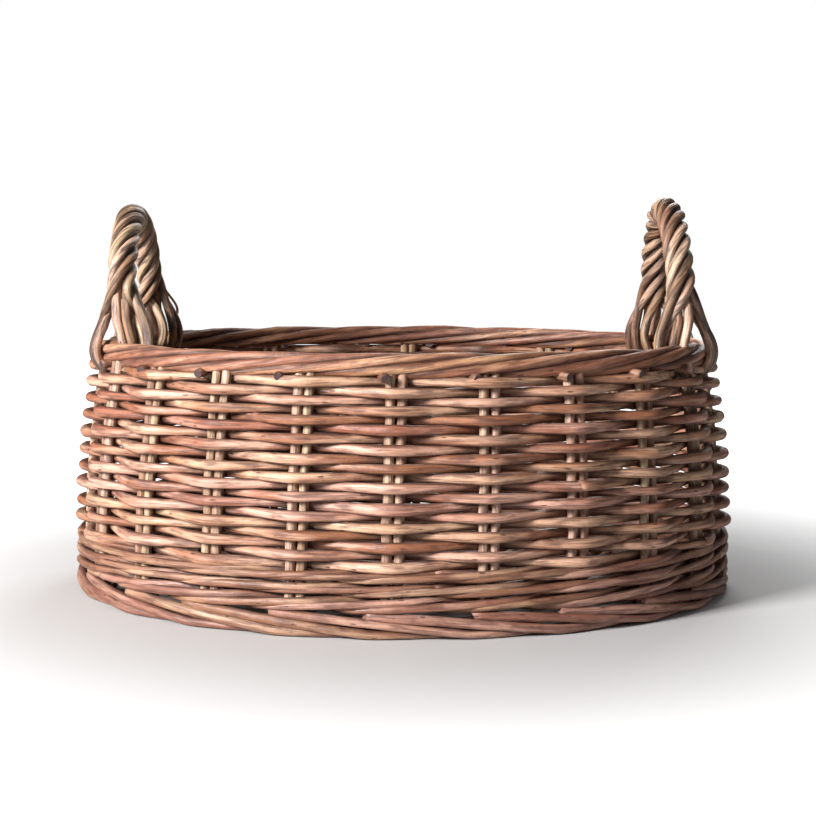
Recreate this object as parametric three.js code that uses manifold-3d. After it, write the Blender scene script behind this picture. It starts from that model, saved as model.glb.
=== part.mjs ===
// Oval wicker log basket with two roped hoop handles.
//
// Millimetres, +Z up, +X along the basket's length. The origin is on the floor, at the middle
// of the oval. Every position round the wall is a "turn": 0 at the front middle (-Y), growing
// anticlockwise as seen from above, and 1 after one full round.

import * as THREE from 'three';
import { mergeVertices } from 'three/addons/utils/BufferGeometryUtils.js';
import Module from 'manifold-3d';

const wasm = await Module();
wasm.setup();

// ---------------------------------------------------------------- driving dimensions

const GAP = 0.35; // clearance between neighbouring pieces

// Plan of the wall, on the line through the middle of the stakes at floor level
const HALF_LENGTH = 291.5;
const HALF_WIDTH = 233;
const WALL_HEIGHT = 228; // floor to the top of the rim border
const RIM_INSET = 20; // how far the wall has drawn in by the time it reaches the rim
const INSET_POWER = 2.2; // keeps the lower wall upright, the upper wall drawing in

// Stakes: pairs of uprights, side by side
const STAKE_PAIRS = 22;
const STAKE_SHIFT = -7; // the first pair stands this far left of the front middle
const FRONT_SPREAD = 0.045; // spaces are wider than average by this part at the front and back
const ROD = 7.5; // thickness of a stake
const PAIR_WIDTH = 15.6; // both rods of a pair, measured along the wall

// Woven bands, from the floor up
const FOOT_HEIGHT = 20;
const LOWER_WALE = { bottom: 21.5, top: 33 };
const UPPER_WALE = { bottom: 35, top: 54.4 };
const WALE_REACH = 12; // how far a wale stands out from the stake line, each side
const ROWS = 20;
const FIRST_ROW = 58.6; // height of the lowest row's middle
const ROW_PITCH = 7.6;
const WEAVER_DEPTH = 8.6; // thickness of a weaver across the wall
const WEAVER_HEIGHT = 7.1;
const STRADDLE = 0.14; // a weaver lies flat over a pair for this part of a stake space

// Rim border
const RIM_RADIUS = 10.5;
const RIM_OUT = -1.6; // the border's middle, from the stake line
const RIM_STRANDS = 5;
const STRAND_GROOVE = 1.5;

// Handles
const LEG_ARC = 108; // from the end of the oval to a leg, measured round the wall
const LEG_DEPTH = 12; // how far a bow's end goes down into the border
// A hoop's top leans out from its feet by `lean`.
const HANDLES = [
  { name: 'left_handle', side: -1, top: 350, lean: 4 },
  { name: 'right_handle', side: 1, top: 358, lean: -5 },
];
const BOW_ROD = 8.6; // one of the two rods of a bow
const ROPE_RADIUS = 12.6;
const ROPE_STRANDS = 5;
const ROPE_GROOVE = 1.6;
const ROPE_LEAD = 94; // length of bow for one turn of the roping
const LAP_LENGTH = 56; // stretch of the border that each foot of the roping laps
const LAP_SHIFT = 12; // the lap's middle is this much nearer the end of the oval than the leg
const LAP_THICKNESS = 8;

// Base
const BASE_BOTTOM = 20.5;
const BASE_THICKNESS = 14;
const CROSS_STICKS = 6;
const CROSS_SPACING = 78;
const CROSS_ROD = 10.6;
const LONG_STICKS = 3;
const LONG_SPACING = 8.6;
const LONG_ROD = 6.6;

// ---------------------------------------------------------------- materials

const willow = (color, roughness) => new THREE.MeshStandardMaterial({ color, roughness, metalness: 0 });
const STAKE_WILLOW = willow(0xd2bd98, 0.55);
const WEAVER_WILLOW = willow(0xc69a76, 0.55);
const BAND_WILLOW = willow(0xcfa78a, 0.55);
const RIM_WILLOW = willow(0xcaa27e, 0.5);
const HANDLE_WILLOW = willow(0xa68a68, 0.6);
const BASE_WILLOW = willow(0xb08a66, 0.65);

// ---------------------------------------------------------------- the wall's surface

const plan = new THREE.EllipseCurve(0, 0, HALF_LENGTH, HALF_WIDTH, -Math.PI / 2, 1.5 * Math.PI);
plan.arcLengthDivisions = 1440;
const GIRTH = plan.getLength();

const wholeTurn = (turn) => turn - Math.floor(turn);
const insetAt = (z) => RIM_INSET * (Math.max(z, 0) / WALL_HEIGHT) ** INSET_POWER;

/** The turn at a number of stake spaces from the first pair. */
function stakeTurn(spaces) {
  const even = spaces / STAKE_PAIRS;
  const spread = (FRONT_SPREAD * Math.sin(4 * Math.PI * even)) / (4 * Math.PI);
  return even + spread + STAKE_SHIFT / GIRTH;
}

/** A point on the wall: `out` is the distance outwards from the stake line at that height. */
function onWall(turn, out, z) {
  const at = plan.getPointAt(wholeTurn(turn));
  const along = plan.getTangentAt(wholeTurn(turn));
  const reach = out - insetAt(z);
  return new THREE.Vector3(at.x + along.y * reach, at.y - along.x * reach, z);
}

/** Moves every vertex of a geometry: `place(vertex, index)` returns its new position. */
function reshape(geometry, place) {
  const position = geometry.attributes.position;
  const vertex = new THREE.Vector3();
  for (let i = 0; i < position.count; i += 1) {
    const moved = place(vertex.fromBufferAttribute(position, i), i);
    position.setXYZ(i, moved.x, moved.y, moved.z);
  }
  return geometry;
}

/**
 * A closed ring round the wall. Each station holds its turn and its section, a list of
 * [out, z] corners, anticlockwise. The last station lies on the first, one round further on.
 */
function ringGeometry(stations) {
  const sides = stations[0].section.length;
  const torus = new THREE.TorusGeometry(1, 0.5, sides, stations.length - 1);
  return reshape(torus, (vertex, index) => {
    const { turn, section } = stations[index % stations.length];
    const [out, z] = section[Math.floor(index / stations.length) % sides];
    return onWall(turn, out, z);
  });
}

/** Evenly spaced stations; `sectionAt` gets the number of stake spaces passed so far. */
function evenStations(perSpace, sectionAt) {
  return Array.from({ length: STAKE_PAIRS * perSpace + 1 }, (_, i) => {
    const spaces = i / perSpace;
    return { turn: stakeTurn(spaces), section: sectionAt(spaces) };
  });
}

/** A rod along a curve; `corner(angle, t)` gives a point of its section as [across, up]. */
function rodGeometry(curve, sides, steps, corner) {
  const straight = new THREE.CylinderGeometry(1, 1, 1, sides, steps);
  return reshape(straight, ({ x, y, z }) => {
    const t = Math.min(Math.max(y + 0.5, 0), 1);
    const ahead = curve.getTangent(t);
    const across = new THREE.Vector3(1, 0, 0).addScaledVector(ahead, -ahead.x).normalize();
    const up = new THREE.Vector3().crossVectors(ahead, across);
    const onAxis = Math.hypot(x, z) < 0.5;
    const [a, b] = onAxis ? [0, 0] : corner(Math.atan2(x, z), t);
    return curve.getPoint(t).addScaledVector(across, a).addScaledVector(up, b);
  });
}

// ---------------------------------------------------------------- solids

/** A closed geometry as a manifold solid. */
function solidOf(geometry) {
  const bare = geometry.clone();
  bare.deleteAttribute('normal');
  bare.deleteAttribute('uv');
  const merged = mergeVertices(bare, 1e-4);
  const vertProperties = new Float32Array(merged.attributes.position.array);
  const triVerts = new Uint32Array(merged.index.array);
  return new wasm.Manifold(new wasm.Mesh({ numProp: 3, vertProperties, triVerts }));
}

/** A manifold solid as a geometry. */
function geometryOf(solid) {
  const { vertProperties, triVerts } = solid.getMesh();
  const geometry = new THREE.BufferGeometry();
  geometry.setAttribute('position', new THREE.BufferAttribute(new Float32Array(vertProperties), 3));
  geometry.setIndex(new THREE.BufferAttribute(new Uint32Array(triVerts), 1));
  geometry.computeVertexNormals();
  return geometry;
}

const basket = new THREE.Group();

function addPiece(name, geometry, material) {
  const mesh = new THREE.Mesh(geometry, material);
  mesh.name = name;
  basket.add(mesh);
}

const twoDigits = (number) => String(number).padStart(2, '0');

// ---------------------------------------------------------------- stakes

const PAIR_END = PAIR_WIDTH / 2;
const CROWN = ROD / 2;
const CROWN_X = PAIR_END - CROWN;

/** Outline of two rods side by side: x along the wall, y outwards. */
const PAIR_OUTLINE = [
  [PAIR_END, 0], [CROWN_X, CROWN], [0, 0.6 * CROWN], [-CROWN_X, CROWN],
  [-PAIR_END, 0], [-CROWN_X, -CROWN], [0, -0.6 * CROWN], [CROWN_X, -CROWN],
];

/** Outline of the opening that a pair passes through. */
const PAIR_OPENING = [
  [PAIR_END + GAP, CROWN + GAP], [-PAIR_END - GAP, CROWN + GAP],
  [-PAIR_END - GAP, -CROWN - GAP], [PAIR_END + GAP, -CROWN - GAP],
];

/** An outline carried up the wall at one pair's place, from the foot to the rim. */
function uprightGeometry(pair, outline) {
  const bottom = FOOT_HEIGHT + GAP;
  const depth = WALL_HEIGHT - 2 * RIM_RADIUS - GAP - bottom;
  const shape = new THREE.Shape(outline.map(([x, y]) => new THREE.Vector2(x, y)));
  const straight = new THREE.ExtrudeGeometry(shape, { depth, steps: 3, bevelEnabled: false });
  const turn = stakeTurn(pair);
  return reshape(straight, ({ x, y, z }) => onWall(turn + x / GIRTH, -y, bottom + z));
}

function addStakes() {
  for (let pair = 0; pair < STAKE_PAIRS; pair += 1) {
    const stakes = uprightGeometry(pair, PAIR_OUTLINE);
    addPiece(`stake_pair_${twoDigits(pair + 1)}`, stakes, STAKE_WILLOW);
  }
}

// ---------------------------------------------------------------- foot, wales and side weaving

/** The foot border: a low ring with a flat underside. */
function addFoot() {
  const section = [[12, 8], [7, FOOT_HEIGHT], [-7, FOOT_HEIGHT], [-12, 8], [-8, 0], [8, 0]];
  addPiece('foot_border', ringGeometry(evenStations(2, () => section)), BAND_WILLOW);
}

/** A wale wraps the stakes on both sides, so the stakes pass through it. */
function waleGeometry({ bottom, top }) {
  const section = [
    [WALE_REACH, bottom], [WALE_REACH, top], [-WALE_REACH, top], [-WALE_REACH, bottom],
  ];
  let band = solidOf(ringGeometry(evenStations(2, () => section)));
  for (let pair = 0; pair < STAKE_PAIRS; pair += 1) {
    band = band.subtract(solidOf(uprightGeometry(pair, PAIR_OPENING)));
  }
  return geometryOf(band);
}

/** One row of side weaving: outside one pair, inside the next, all the way round. */
function weaverGeometry(row) {
  const z = FIRST_ROW + row * ROW_PITCH;
  const swing = (ROD + WEAVER_DEPTH) / 2 + 2 * GAP;
  const stationAt = (pair, edge) => {
    const out = (pair + row) % 2 === 0 ? swing : -swing;
    const section = [
      [out + WEAVER_DEPTH / 2, z], [out, z + WEAVER_HEIGHT / 2],
      [out - WEAVER_DEPTH / 2, z], [out, z - WEAVER_HEIGHT / 2],
    ];
    return { turn: stakeTurn(pair + edge), section };
  };
  const stations = [];
  for (let pair = 0; pair < STAKE_PAIRS; pair += 1) {
    stations.push(stationAt(pair, -STRADDLE), stationAt(pair, STRADDLE));
  }
  stations.push(stationAt(STAKE_PAIRS, -STRADDLE));
  return ringGeometry(stations);
}

function addWall() {
  addPiece('upsett_wale_lower', waleGeometry(LOWER_WALE), BAND_WILLOW);
  addPiece('upsett_wale_upper', waleGeometry(UPPER_WALE), BAND_WILLOW);
  for (let row = 0; row < ROWS; row += 1) {
    addPiece(`side_weaver_${twoDigits(row + 1)}`, weaverGeometry(row), WEAVER_WILLOW);
  }
}

// ---------------------------------------------------------------- handles

const RIM_MIDDLE = WALL_HEIGHT - RIM_RADIUS;

/** The line of a handle: an upright half-oval, from the front leg over to the back leg. */
class Hoop extends THREE.Curve {
  constructor({ side, top, lean }) {
    super();
    this.side = side;
    this.lean = lean;
    this.foot = onWall(side * (0.25 - LEG_ARC / GIRTH), RIM_OUT, WALL_HEIGHT - LEG_DEPTH);
    this.rise = top - ROPE_RADIUS - this.foot.z;
  }

  getPoint(t) {
    const arch = Math.sin(Math.PI * t);
    const x = this.foot.x + this.side * this.lean * arch;
    return new THREE.Vector3(x, this.foot.y * Math.cos(Math.PI * t), this.foot.z + this.rise * arch);
  }
}

/** The two rods of a bow, side by side, `grow` thicker all round. */
function bowGeometry(hoop, grow) {
  const width = BOW_ROD + grow;
  const depth = BOW_ROD / 2 + grow;
  return rodGeometry(hoop, 8, 16, (angle) => [width * Math.cos(angle), depth * Math.sin(angle)]);
}

/** Rods twisted round a bow. */
function ropeGeometry(hoop) {
  const turns = hoop.getLength() / ROPE_LEAD;
  return rodGeometry(hoop, 2 * ROPE_STRANDS, 40, (angle, t) => {
    const onGroove = Math.round((angle * ROPE_STRANDS) / Math.PI) % 2 !== 0;
    const reach = ROPE_RADIUS - (onGroove ? ROPE_GROOVE : 0);
    const turned = angle + 2 * Math.PI * turns * t;
    return [reach * Math.cos(turned), reach * Math.sin(turned)];
  });
}

/** The roping's foot: rods lapped over the border, on both sides of the leg. */
function lapGeometry(turn) {
  const reach = RIM_RADIUS + LAP_THICKNESS;
  const straight = new THREE.CylinderGeometry(reach, reach, LAP_LENGTH, 10, 2);
  return reshape(straight, ({ x, y, z }) => onWall(turn + y / GIRTH, RIM_OUT + x, RIM_MIDDLE + z));
}

/** Everything below the border's underside, out of the roping's way. */
function belowRimGeometry() {
  const floor = WALL_HEIGHT - 2 * RIM_RADIUS - GAP / 2;
  return new THREE.BoxGeometry(1000, 1000, floor).translate(0, 0, floor / 2);
}

/** The space that the border takes up, with a clearance round it. */
function rimSpaceGeometry() {
  const corners = 2 * RIM_STRANDS;
  const reach = (RIM_RADIUS + GAP) / Math.cos(Math.PI / corners);
  const section = Array.from({ length: corners }, (_, corner) => {
    const angle = (2 * Math.PI * corner) / corners;
    return [RIM_OUT + reach * Math.cos(angle), RIM_MIDDLE + reach * Math.sin(angle)];
  });
  return ringGeometry(evenStations(2, () => section));
}

function ropingGeometry(hoop) {
  const endTurn = hoop.side * 0.25;
  const lapTurn = (LEG_ARC - LAP_SHIFT) / GIRTH;
  return geometryOf(solidOf(ropeGeometry(hoop))
    .add(solidOf(lapGeometry(endTurn - lapTurn)))
    .add(solidOf(lapGeometry(endTurn + lapTurn)))
    .subtract(solidOf(bowGeometry(hoop, GAP)))
    .subtract(solidOf(rimSpaceGeometry()))
    .subtract(solidOf(belowRimGeometry())));
}

/** The rim border: a rope of strands, with four sockets for the bows' ends. */
function rimGeometry(hoops) {
  const section = (spaces) => Array.from({ length: 2 * RIM_STRANDS }, (_, corner) => {
    const angle = (Math.PI * (2 * spaces + corner)) / RIM_STRANDS;
    const reach = RIM_RADIUS - (corner % 2) * STRAND_GROOVE;
    return [RIM_OUT + reach * Math.cos(angle), RIM_MIDDLE + reach * Math.sin(angle)];
  });
  let rim = solidOf(ringGeometry(evenStations(2, section)));
  for (const hoop of hoops) {
    rim = rim.subtract(solidOf(bowGeometry(hoop, GAP)));
  }
  return geometryOf(rim);
}

function addRimAndHandles() {
  const hoops = HANDLES.map((handle) => new Hoop(handle));
  addPiece('rim_border', rimGeometry(hoops), RIM_WILLOW);
  HANDLES.forEach(({ name }, index) => {
    addPiece(`${name}_bow`, bowGeometry(hoops[index], 0), HANDLE_WILLOW);
    addPiece(`${name}_roping`, ropingGeometry(hoops[index]), HANDLE_WILLOW);
  });
}

// ---------------------------------------------------------------- base

const BASE_MIDDLE = BASE_BOTTOM + BASE_THICKNESS / 2;
const BASE_REACH = WALE_REACH + 1; // the base's edge lies this far inside the stake line
const STICK_SETBACK = 4; // the sticks stop this far short of the base's edge

/** A straight stick, `along` being 'x' or 'y', centred at [x, y]. */
function stickGeometry(along, length, radius, [x, y]) {
  const sides = 8;
  const stick = new THREE.CylinderGeometry(radius, radius, length, sides).rotateY(Math.PI / sides);
  if (along === 'x') {
    stick.rotateZ(Math.PI / 2);
  }
  return stick.translate(x, y, BASE_MIDDLE);
}

/** Sizes and places of the base sticks. */
function baseSticks() {
  const halfLength = HALF_LENGTH - BASE_REACH;
  const halfWidth = HALF_WIDTH - BASE_REACH;
  const sticks = [];
  for (let i = 0; i < CROSS_STICKS; i += 1) {
    const x = (i - (CROSS_STICKS - 1) / 2) * CROSS_SPACING;
    const half = halfWidth * Math.sqrt(1 - (x / halfLength) ** 2) - STICK_SETBACK;
    sticks.push({ name: `base_cross_stick_${i + 1}`, along: 'y', half, radius: CROSS_ROD / 2, at: [x, 0] });
  }
  for (let i = 0; i < LONG_STICKS; i += 1) {
    const y = (i - (LONG_STICKS - 1) / 2) * LONG_SPACING;
    const half = halfLength - STICK_SETBACK;
    sticks.push({ name: `base_long_stick_${i + 1}`, along: 'x', half, radius: LONG_ROD / 2, at: [0, y] });
  }
  return sticks;
}

/** The space a stick takes up; it runs out past the base's edge. */
const stickSpace = ({ along, half, radius, at }) => solidOf(
  stickGeometry(along, 2 * half + 60, radius + GAP, at),
);

/** The woven oval of the base, open along the middle where the long sticks show. */
function baseWeaveGeometry(sticks) {
  const points = evenStations(2, () => null).slice(0, -1).map(({ turn }) => {
    const { x, y } = onWall(turn, -BASE_REACH, 0);
    return new THREE.Vector2(x, y);
  });
  const options = { depth: BASE_THICKNESS, steps: 1, bevelEnabled: false };
  const oval = new THREE.ExtrudeGeometry(new THREE.Shape(points), options);
  const slotLength = (CROSS_STICKS - 0.6) * CROSS_SPACING;
  const slot = new THREE.BoxGeometry(slotLength, LONG_STICKS * LONG_SPACING + 2, 3 * BASE_THICKNESS);
  let weave = solidOf(oval.translate(0, 0, BASE_BOTTOM));
  weave = weave.subtract(solidOf(slot.translate(0, 0, BASE_MIDDLE)));
  for (const stick of sticks) {
    weave = weave.subtract(stickSpace(stick));
  }
  return geometryOf(weave);
}

function addBase() {
  const sticks = baseSticks();
  const longSticks = sticks.filter(({ along }) => along === 'x');
  for (const stick of sticks) {
    let solid = solidOf(stickGeometry(stick.along, 2 * stick.half, stick.radius, stick.at));
    if (stick.along === 'y') {
      for (const longStick of longSticks) {
        solid = solid.subtract(stickSpace(longStick));
      }
    }
    addPiece(stick.name, geometryOf(solid), BASE_WILLOW);
  }
  addPiece('base_weave', baseWeaveGeometry(sticks), BASE_WILLOW);
}

// ---------------------------------------------------------------- the basket

addFoot();
addBase();
addStakes();
addWall();
addRimAndHandles();

export default basket;
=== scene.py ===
# %% [markdown]
# # A wicker log basket, rod by rod
#
# The real basket is made of one thing only: peeled willow rods, each as thick as a pencil,
# bent round each other. So this scene has one main tool, a function that sweeps a slightly
# uneven rod along a path, and the rest of the lesson is about finding the paths: upright
# stakes, rows woven in and out of them, ropes at the top and bottom, and two roped handles.
# The imported model gives the sizes. Here it is loaded first, and its parts are kept for their
# boxes.

import math

import bpy
import numpy as np
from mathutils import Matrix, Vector


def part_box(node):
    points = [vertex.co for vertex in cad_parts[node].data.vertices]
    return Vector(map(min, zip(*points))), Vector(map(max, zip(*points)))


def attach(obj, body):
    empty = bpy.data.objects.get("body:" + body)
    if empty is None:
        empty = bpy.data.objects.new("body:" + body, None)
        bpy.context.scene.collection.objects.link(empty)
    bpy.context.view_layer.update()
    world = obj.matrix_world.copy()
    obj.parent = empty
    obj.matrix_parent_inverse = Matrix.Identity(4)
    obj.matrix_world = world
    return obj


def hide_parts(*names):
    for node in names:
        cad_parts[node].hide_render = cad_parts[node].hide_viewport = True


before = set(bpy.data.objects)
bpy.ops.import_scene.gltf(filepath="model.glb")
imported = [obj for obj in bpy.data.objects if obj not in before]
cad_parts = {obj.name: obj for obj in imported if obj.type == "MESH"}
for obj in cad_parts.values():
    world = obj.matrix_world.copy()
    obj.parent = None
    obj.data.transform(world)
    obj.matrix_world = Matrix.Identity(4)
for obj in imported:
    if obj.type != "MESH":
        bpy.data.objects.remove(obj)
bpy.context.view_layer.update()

# %% [markdown]
# ## The camera
#
# A product picture is taken from a little above the rim with a fairly long lens, so that the
# oval mouth shows as a thin band. The camera could be placed with a Track To constraint, but
# two plain rotations are easier to read: a few degrees of pitch, and a trace of roll.

# %% Camera
CAMERA_DISTANCE = 1.508
CAMERA_HEIGHT = 0.315
CAMERA_ASIDE = 0.0034
CAMERA_PITCH = math.radians(5.8)
CAMERA_ROLL = math.radians(-0.27)
FOCAL_WIDTHS = 1.991  # focal length, in picture widths

camera_data = bpy.data.cameras.new("camera")
camera_data.sensor_width = 36.0
camera_data.lens = FOCAL_WIDTHS * camera_data.sensor_width
camera_data.clip_end = 20.0
camera = bpy.data.objects.new("camera", camera_data)
camera.rotation_mode = "XYZ"
camera.location = (CAMERA_ASIDE, -CAMERA_DISTANCE, CAMERA_HEIGHT)
camera.rotation_euler = (math.pi / 2 - CAMERA_PITCH, CAMERA_ROLL, 0.0)
bpy.context.scene.collection.objects.link(camera)
bpy.context.scene.camera = camera
print("camera lens", round(camera_data.lens, 1), "mm")

# %% [markdown]
# ## The wall as a set of coordinates
#
# Every rod follows the oval wall, so it helps to describe places as a weaver would: how far
# round the basket, how far out from the stakes, and how high. The plan is an ellipse, stepped
# off at equal lengths, which a table of running lengths and `np.interp` give. The sides draw
# in slightly towards the rim. One step, a "space", is the distance from one pair of stakes to
# the next. Curve modifiers could bend straight rows round an oval, but weaving needs the exact
# place of every point, so the points are worked out here. The main sizes are read from the
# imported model.

# %% Sizes from the model
PAIRS = sum(name.startswith("stake_pair_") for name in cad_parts)
ROWS = sum(name.startswith("side_weaver_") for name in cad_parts)
FOOT_REACH = 0.012  # the foot stands out this far from the line of the stakes
STAKE_RADIUS = 0.0043
INSET_POWER = 2.2  # the lower wall is upright, and the upper wall draws in
FRONT_SPREAD = 0.045  # spaces are wider than average by this part at the front and back
RIM_OUT = -0.0016  # the middle of the rim is this far out from the stakes; less than 0 is inwards
PLAN_STEPS = 2880

foot_low, foot_high = (np.array(corner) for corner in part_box("foot_border"))
rim_low, rim_high = (np.array(corner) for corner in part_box("rim_border"))
half_length, half_width = foot_high[:2] - FOOT_REACH
wall_top = rim_high[2]
rim_radius = (rim_high[2] - rim_low[2]) / 2
rim_middle = wall_top - rim_radius
rim_inset = half_length + RIM_OUT + rim_radius - rim_high[0]

around = np.linspace(0.0, 2 * np.pi, PLAN_STEPS + 1)
plan_x = half_length * np.sin(around)
plan_y = -half_width * np.cos(around)
run = np.concatenate([[0.0], np.cumsum(np.hypot(np.diff(plan_x), np.diff(plan_y)))])
girth = run[-1]
space_length = girth / PAIRS
first_low, first_high = (np.array(corner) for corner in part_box("stake_pair_01"))
first_pair_at = (first_low[0] + first_high[0]) / 2
print(PAIRS, "pairs of stakes,", ROWS, "rows; one space is", round(space_length * 1000, 1), "mm")


# %% Wall coordinates
def inset_at(z):
    """How far the wall has drawn in at height z."""
    return rim_inset * (np.maximum(z, 0.0) / rim_middle) ** INSET_POWER


def on_wall(spaces, out, z):
    """Points on the wall: spaces along from the first pair, out from the stakes, and height."""
    spaces, out, z = np.broadcast_arrays(*(np.asarray(v, float) for v in (spaces, out, z)))
    even = spaces / PAIRS
    spread = FRONT_SPREAD * np.sin(4 * np.pi * even) / (4 * np.pi)
    length = np.mod((even + spread) * girth + first_pair_at, girth)
    angle = np.interp(length, run, around)
    x, y = half_length * np.sin(angle), -half_width * np.cos(angle)
    normal = np.stack([np.sin(angle) / half_length, -np.cos(angle) / half_width], -1)
    normal /= np.linalg.norm(normal, axis=-1, keepdims=True)
    reach = out - inset_at(z)
    return np.stack([x + normal[..., 0] * reach, y + normal[..., 1] * reach, z], -1)


print("first pair of stakes at", np.round(on_wall(0, 0.0, 0.0) * 1000), "mm")

# %% [markdown]
# ## A willow rod
#
# A rod isn't a perfect cylinder: it is slightly oval, it swells at every bud, and it thins
# towards its tip. A Curve object with a round bevel would give a smooth hose, so each rod is
# swept by hand: rings of points set square to the path, joined by quads, with a cut end at
# each end. Three things are stored with the points for the materials to use. `rod_space` is
# the point's place in the straight rod, so that grain runs along the rod however it bends.
# `tone` is one random number per rod. A third, the depth mask, says how deep in the weave the
# point lies; the material darkens deep points, as painted shade with some real dark wash.

# %% Random wobble and unit vectors
rng = np.random.default_rng(20)


def smooth_noise(length, wave, count=4):
    """A gentle random wobble between about -1 and 1 along a rod, from a few sine waves."""
    at = np.asarray(length, float)
    total = np.zeros_like(at)
    for _ in range(count):
        total += np.sin(at * 2 * np.pi / (wave * rng.uniform(0.6, 1.8)) + rng.uniform(0, 6.28))
    return total / count ** 0.5


def unit(vectors):
    return vectors / np.maximum(np.linalg.norm(vectors, axis=-1, keepdims=True), 1e-12)


print("helpers for a rod ready")

# %% Sweep one rod
BUD_SPACING = 0.055
BUD_JITTER = 0.012
BUD_LENGTH = 0.0028
BUD_HEIGHT = 0.0005
OVAL = 0.035  # a rod is this part wider one way than round, and narrower the other
OVAL_TWIST = 9  # radians that the oval turns in a metre
LUMPS = 0.022  # slow changes of thickness, as a part of the radius
LUMP_LENGTH = 0.05
CUT_EDGE = 0.86  # radius at the very end of a rod, where the cut's edge is slightly rounded
CUT_SHARE = 0.6  # a slanted cut reaches at most this part of the first step into the rod


def make_rod(path, radius, side=(0.0, 0.0, 1.0), sides=12, hollow=0.0, crevice_stain_and_shade=0.0, slant=0.3):
    """One rod swept along path. `side` fixes its roll, and is where its neighbours touch it.

    The depth mask is how deep in the weave each point of the path lies, from 0 to 1; the materials
    darken the rod there, as painted shade with some real dark wash. The crevice amount is how
    strongly the two lines along the rod where neighbours touch it are darkened in the same way.
    `slant` tilts its cut ends.
    """
    path = np.asarray(path, float)
    count = len(path)
    radius = np.broadcast_to(np.asarray(radius, float), count).copy()
    hollow = np.broadcast_to(np.asarray(hollow, float), count)
    tone = rng.uniform()
    ahead = unit(np.gradient(path, axis=0))
    side = np.broadcast_to(np.asarray(side, float), path.shape)
    across = unit(side - ahead * np.sum(side * ahead, axis=1, keepdims=True))
    over = np.cross(ahead, across)
    length = np.concatenate([[0.0], np.cumsum(np.linalg.norm(np.diff(path, axis=0), axis=1))])
    turn = np.linspace(0, 2 * np.pi, sides, endpoint=False)

    twisted = turn[None] + rng.uniform(0, 6.28) + length[:, None] * OVAL_TWIST
    oval = 1 + OVAL * np.cos(2 * twisted)
    lumps = 1 + LUMPS * smooth_noise(length, LUMP_LENGTH)[:, None]
    bud_at = np.arange(rng.uniform(0, BUD_SPACING), length[-1], BUD_SPACING)
    bud_at = bud_at + rng.uniform(-BUD_JITTER, BUD_JITTER, len(bud_at))
    buds = np.zeros((count, sides))
    for at in bud_at:
        facing = np.clip(np.cos(turn - rng.uniform(0, 6.28)), 0, 1) ** 2
        swelling = np.exp(-(((length - at) / BUD_LENGTH) ** 2))
        buds += swelling[:, None] * facing[None] * BUD_HEIGHT
    reach = radius[:, None] * oval * lumps + buds
    reach[[0, -1]] *= CUT_EDGE
    flat = (np.cos(turn)[None, :, None] * across[:, None]
            + np.sin(turn)[None, :, None] * over[:, None])
    points = path[:, None] + reach[..., None] * flat
    cut = slant * radius[0] * np.cos(turn - rng.uniform(0, 6.28))
    points[0] += ahead[0] * (np.minimum(cut, length[1] * CUT_SHARE))[:, None]
    points[-1] += ahead[-1] * (slant * radius[-1] * np.cos(turn))[:, None]

    # Darkening deep in the weave and along the lines where neighbours touch: painted shade, with
    # some real dark wash.
    touching_stain_and_shade = crevice_stain_and_shade * np.abs(np.cos(turn)) ** 3
    stain_and_shade_ring = 1 - (1 - hollow[:, None]) * (1 - touching_stain_and_shade[None])
    start = rng.uniform(0, 50)
    along = np.broadcast_to(length[:, None] + start, (count, sides))
    straight = np.stack([along, reach * np.cos(turn), reach * np.sin(turn)], -1)
    ends = np.stack([points[0].mean(0), points[-1].mean(0)])
    end_space = np.array([[start, 0, 0], [start + length[-1], 0, 0]])

    i, j = np.meshgrid(np.arange(count - 1), np.arange(sides), indexing="ij")
    k = (j + 1) % sides
    quads = np.stack([i * sides + j, i * sides + k, (i + 1) * sides + k, (i + 1) * sides + j], -1)
    j = np.arange(sides)
    k = (j + 1) % sides
    last = (count - 1) * sides
    first_cap = np.stack([np.full(sides, count * sides), k, j], -1)
    last_cap = np.stack([np.full(sides, count * sides + 1), last + j, last + k], -1)
    return {
        "points": np.concatenate([points.reshape(-1, 3), ends]),
        "quads": quads.reshape(-1, 4),
        "caps": np.concatenate([first_cap, last_cap]),
        "rod_space": np.concatenate([straight.reshape(-1, 3), end_space]),
        "tone": np.full(count * sides + 2, tone),
        "hollow": np.concatenate([stain_and_shade_ring.ravel(), hollow[[0, -1]]]),
    }


print("one bud every", BUD_SPACING * 1000, "mm")

# %% [markdown]
# ## Many rods, one object
#
# A row of weaving is several rods, but one piece to pick up, so its rods are joined into one
# mesh. `foreach_set` writes whole arrays at once, which is far quicker than a Python loop over
# thousands of points. The cut ends are marked with a face attribute, `cut_end`, so that the
# material can show end grain there, and they are shaded flat to keep their edge crisp.

# %% Join rods into a piece
def add_attribute(mesh, name, kind, domain, values):
    attribute = mesh.attributes.new(name, kind, domain)
    key = "vector" if kind == "FLOAT_VECTOR" else "value"
    attribute.data.foreach_set(key, np.asarray(values, np.float32).ravel())


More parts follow.
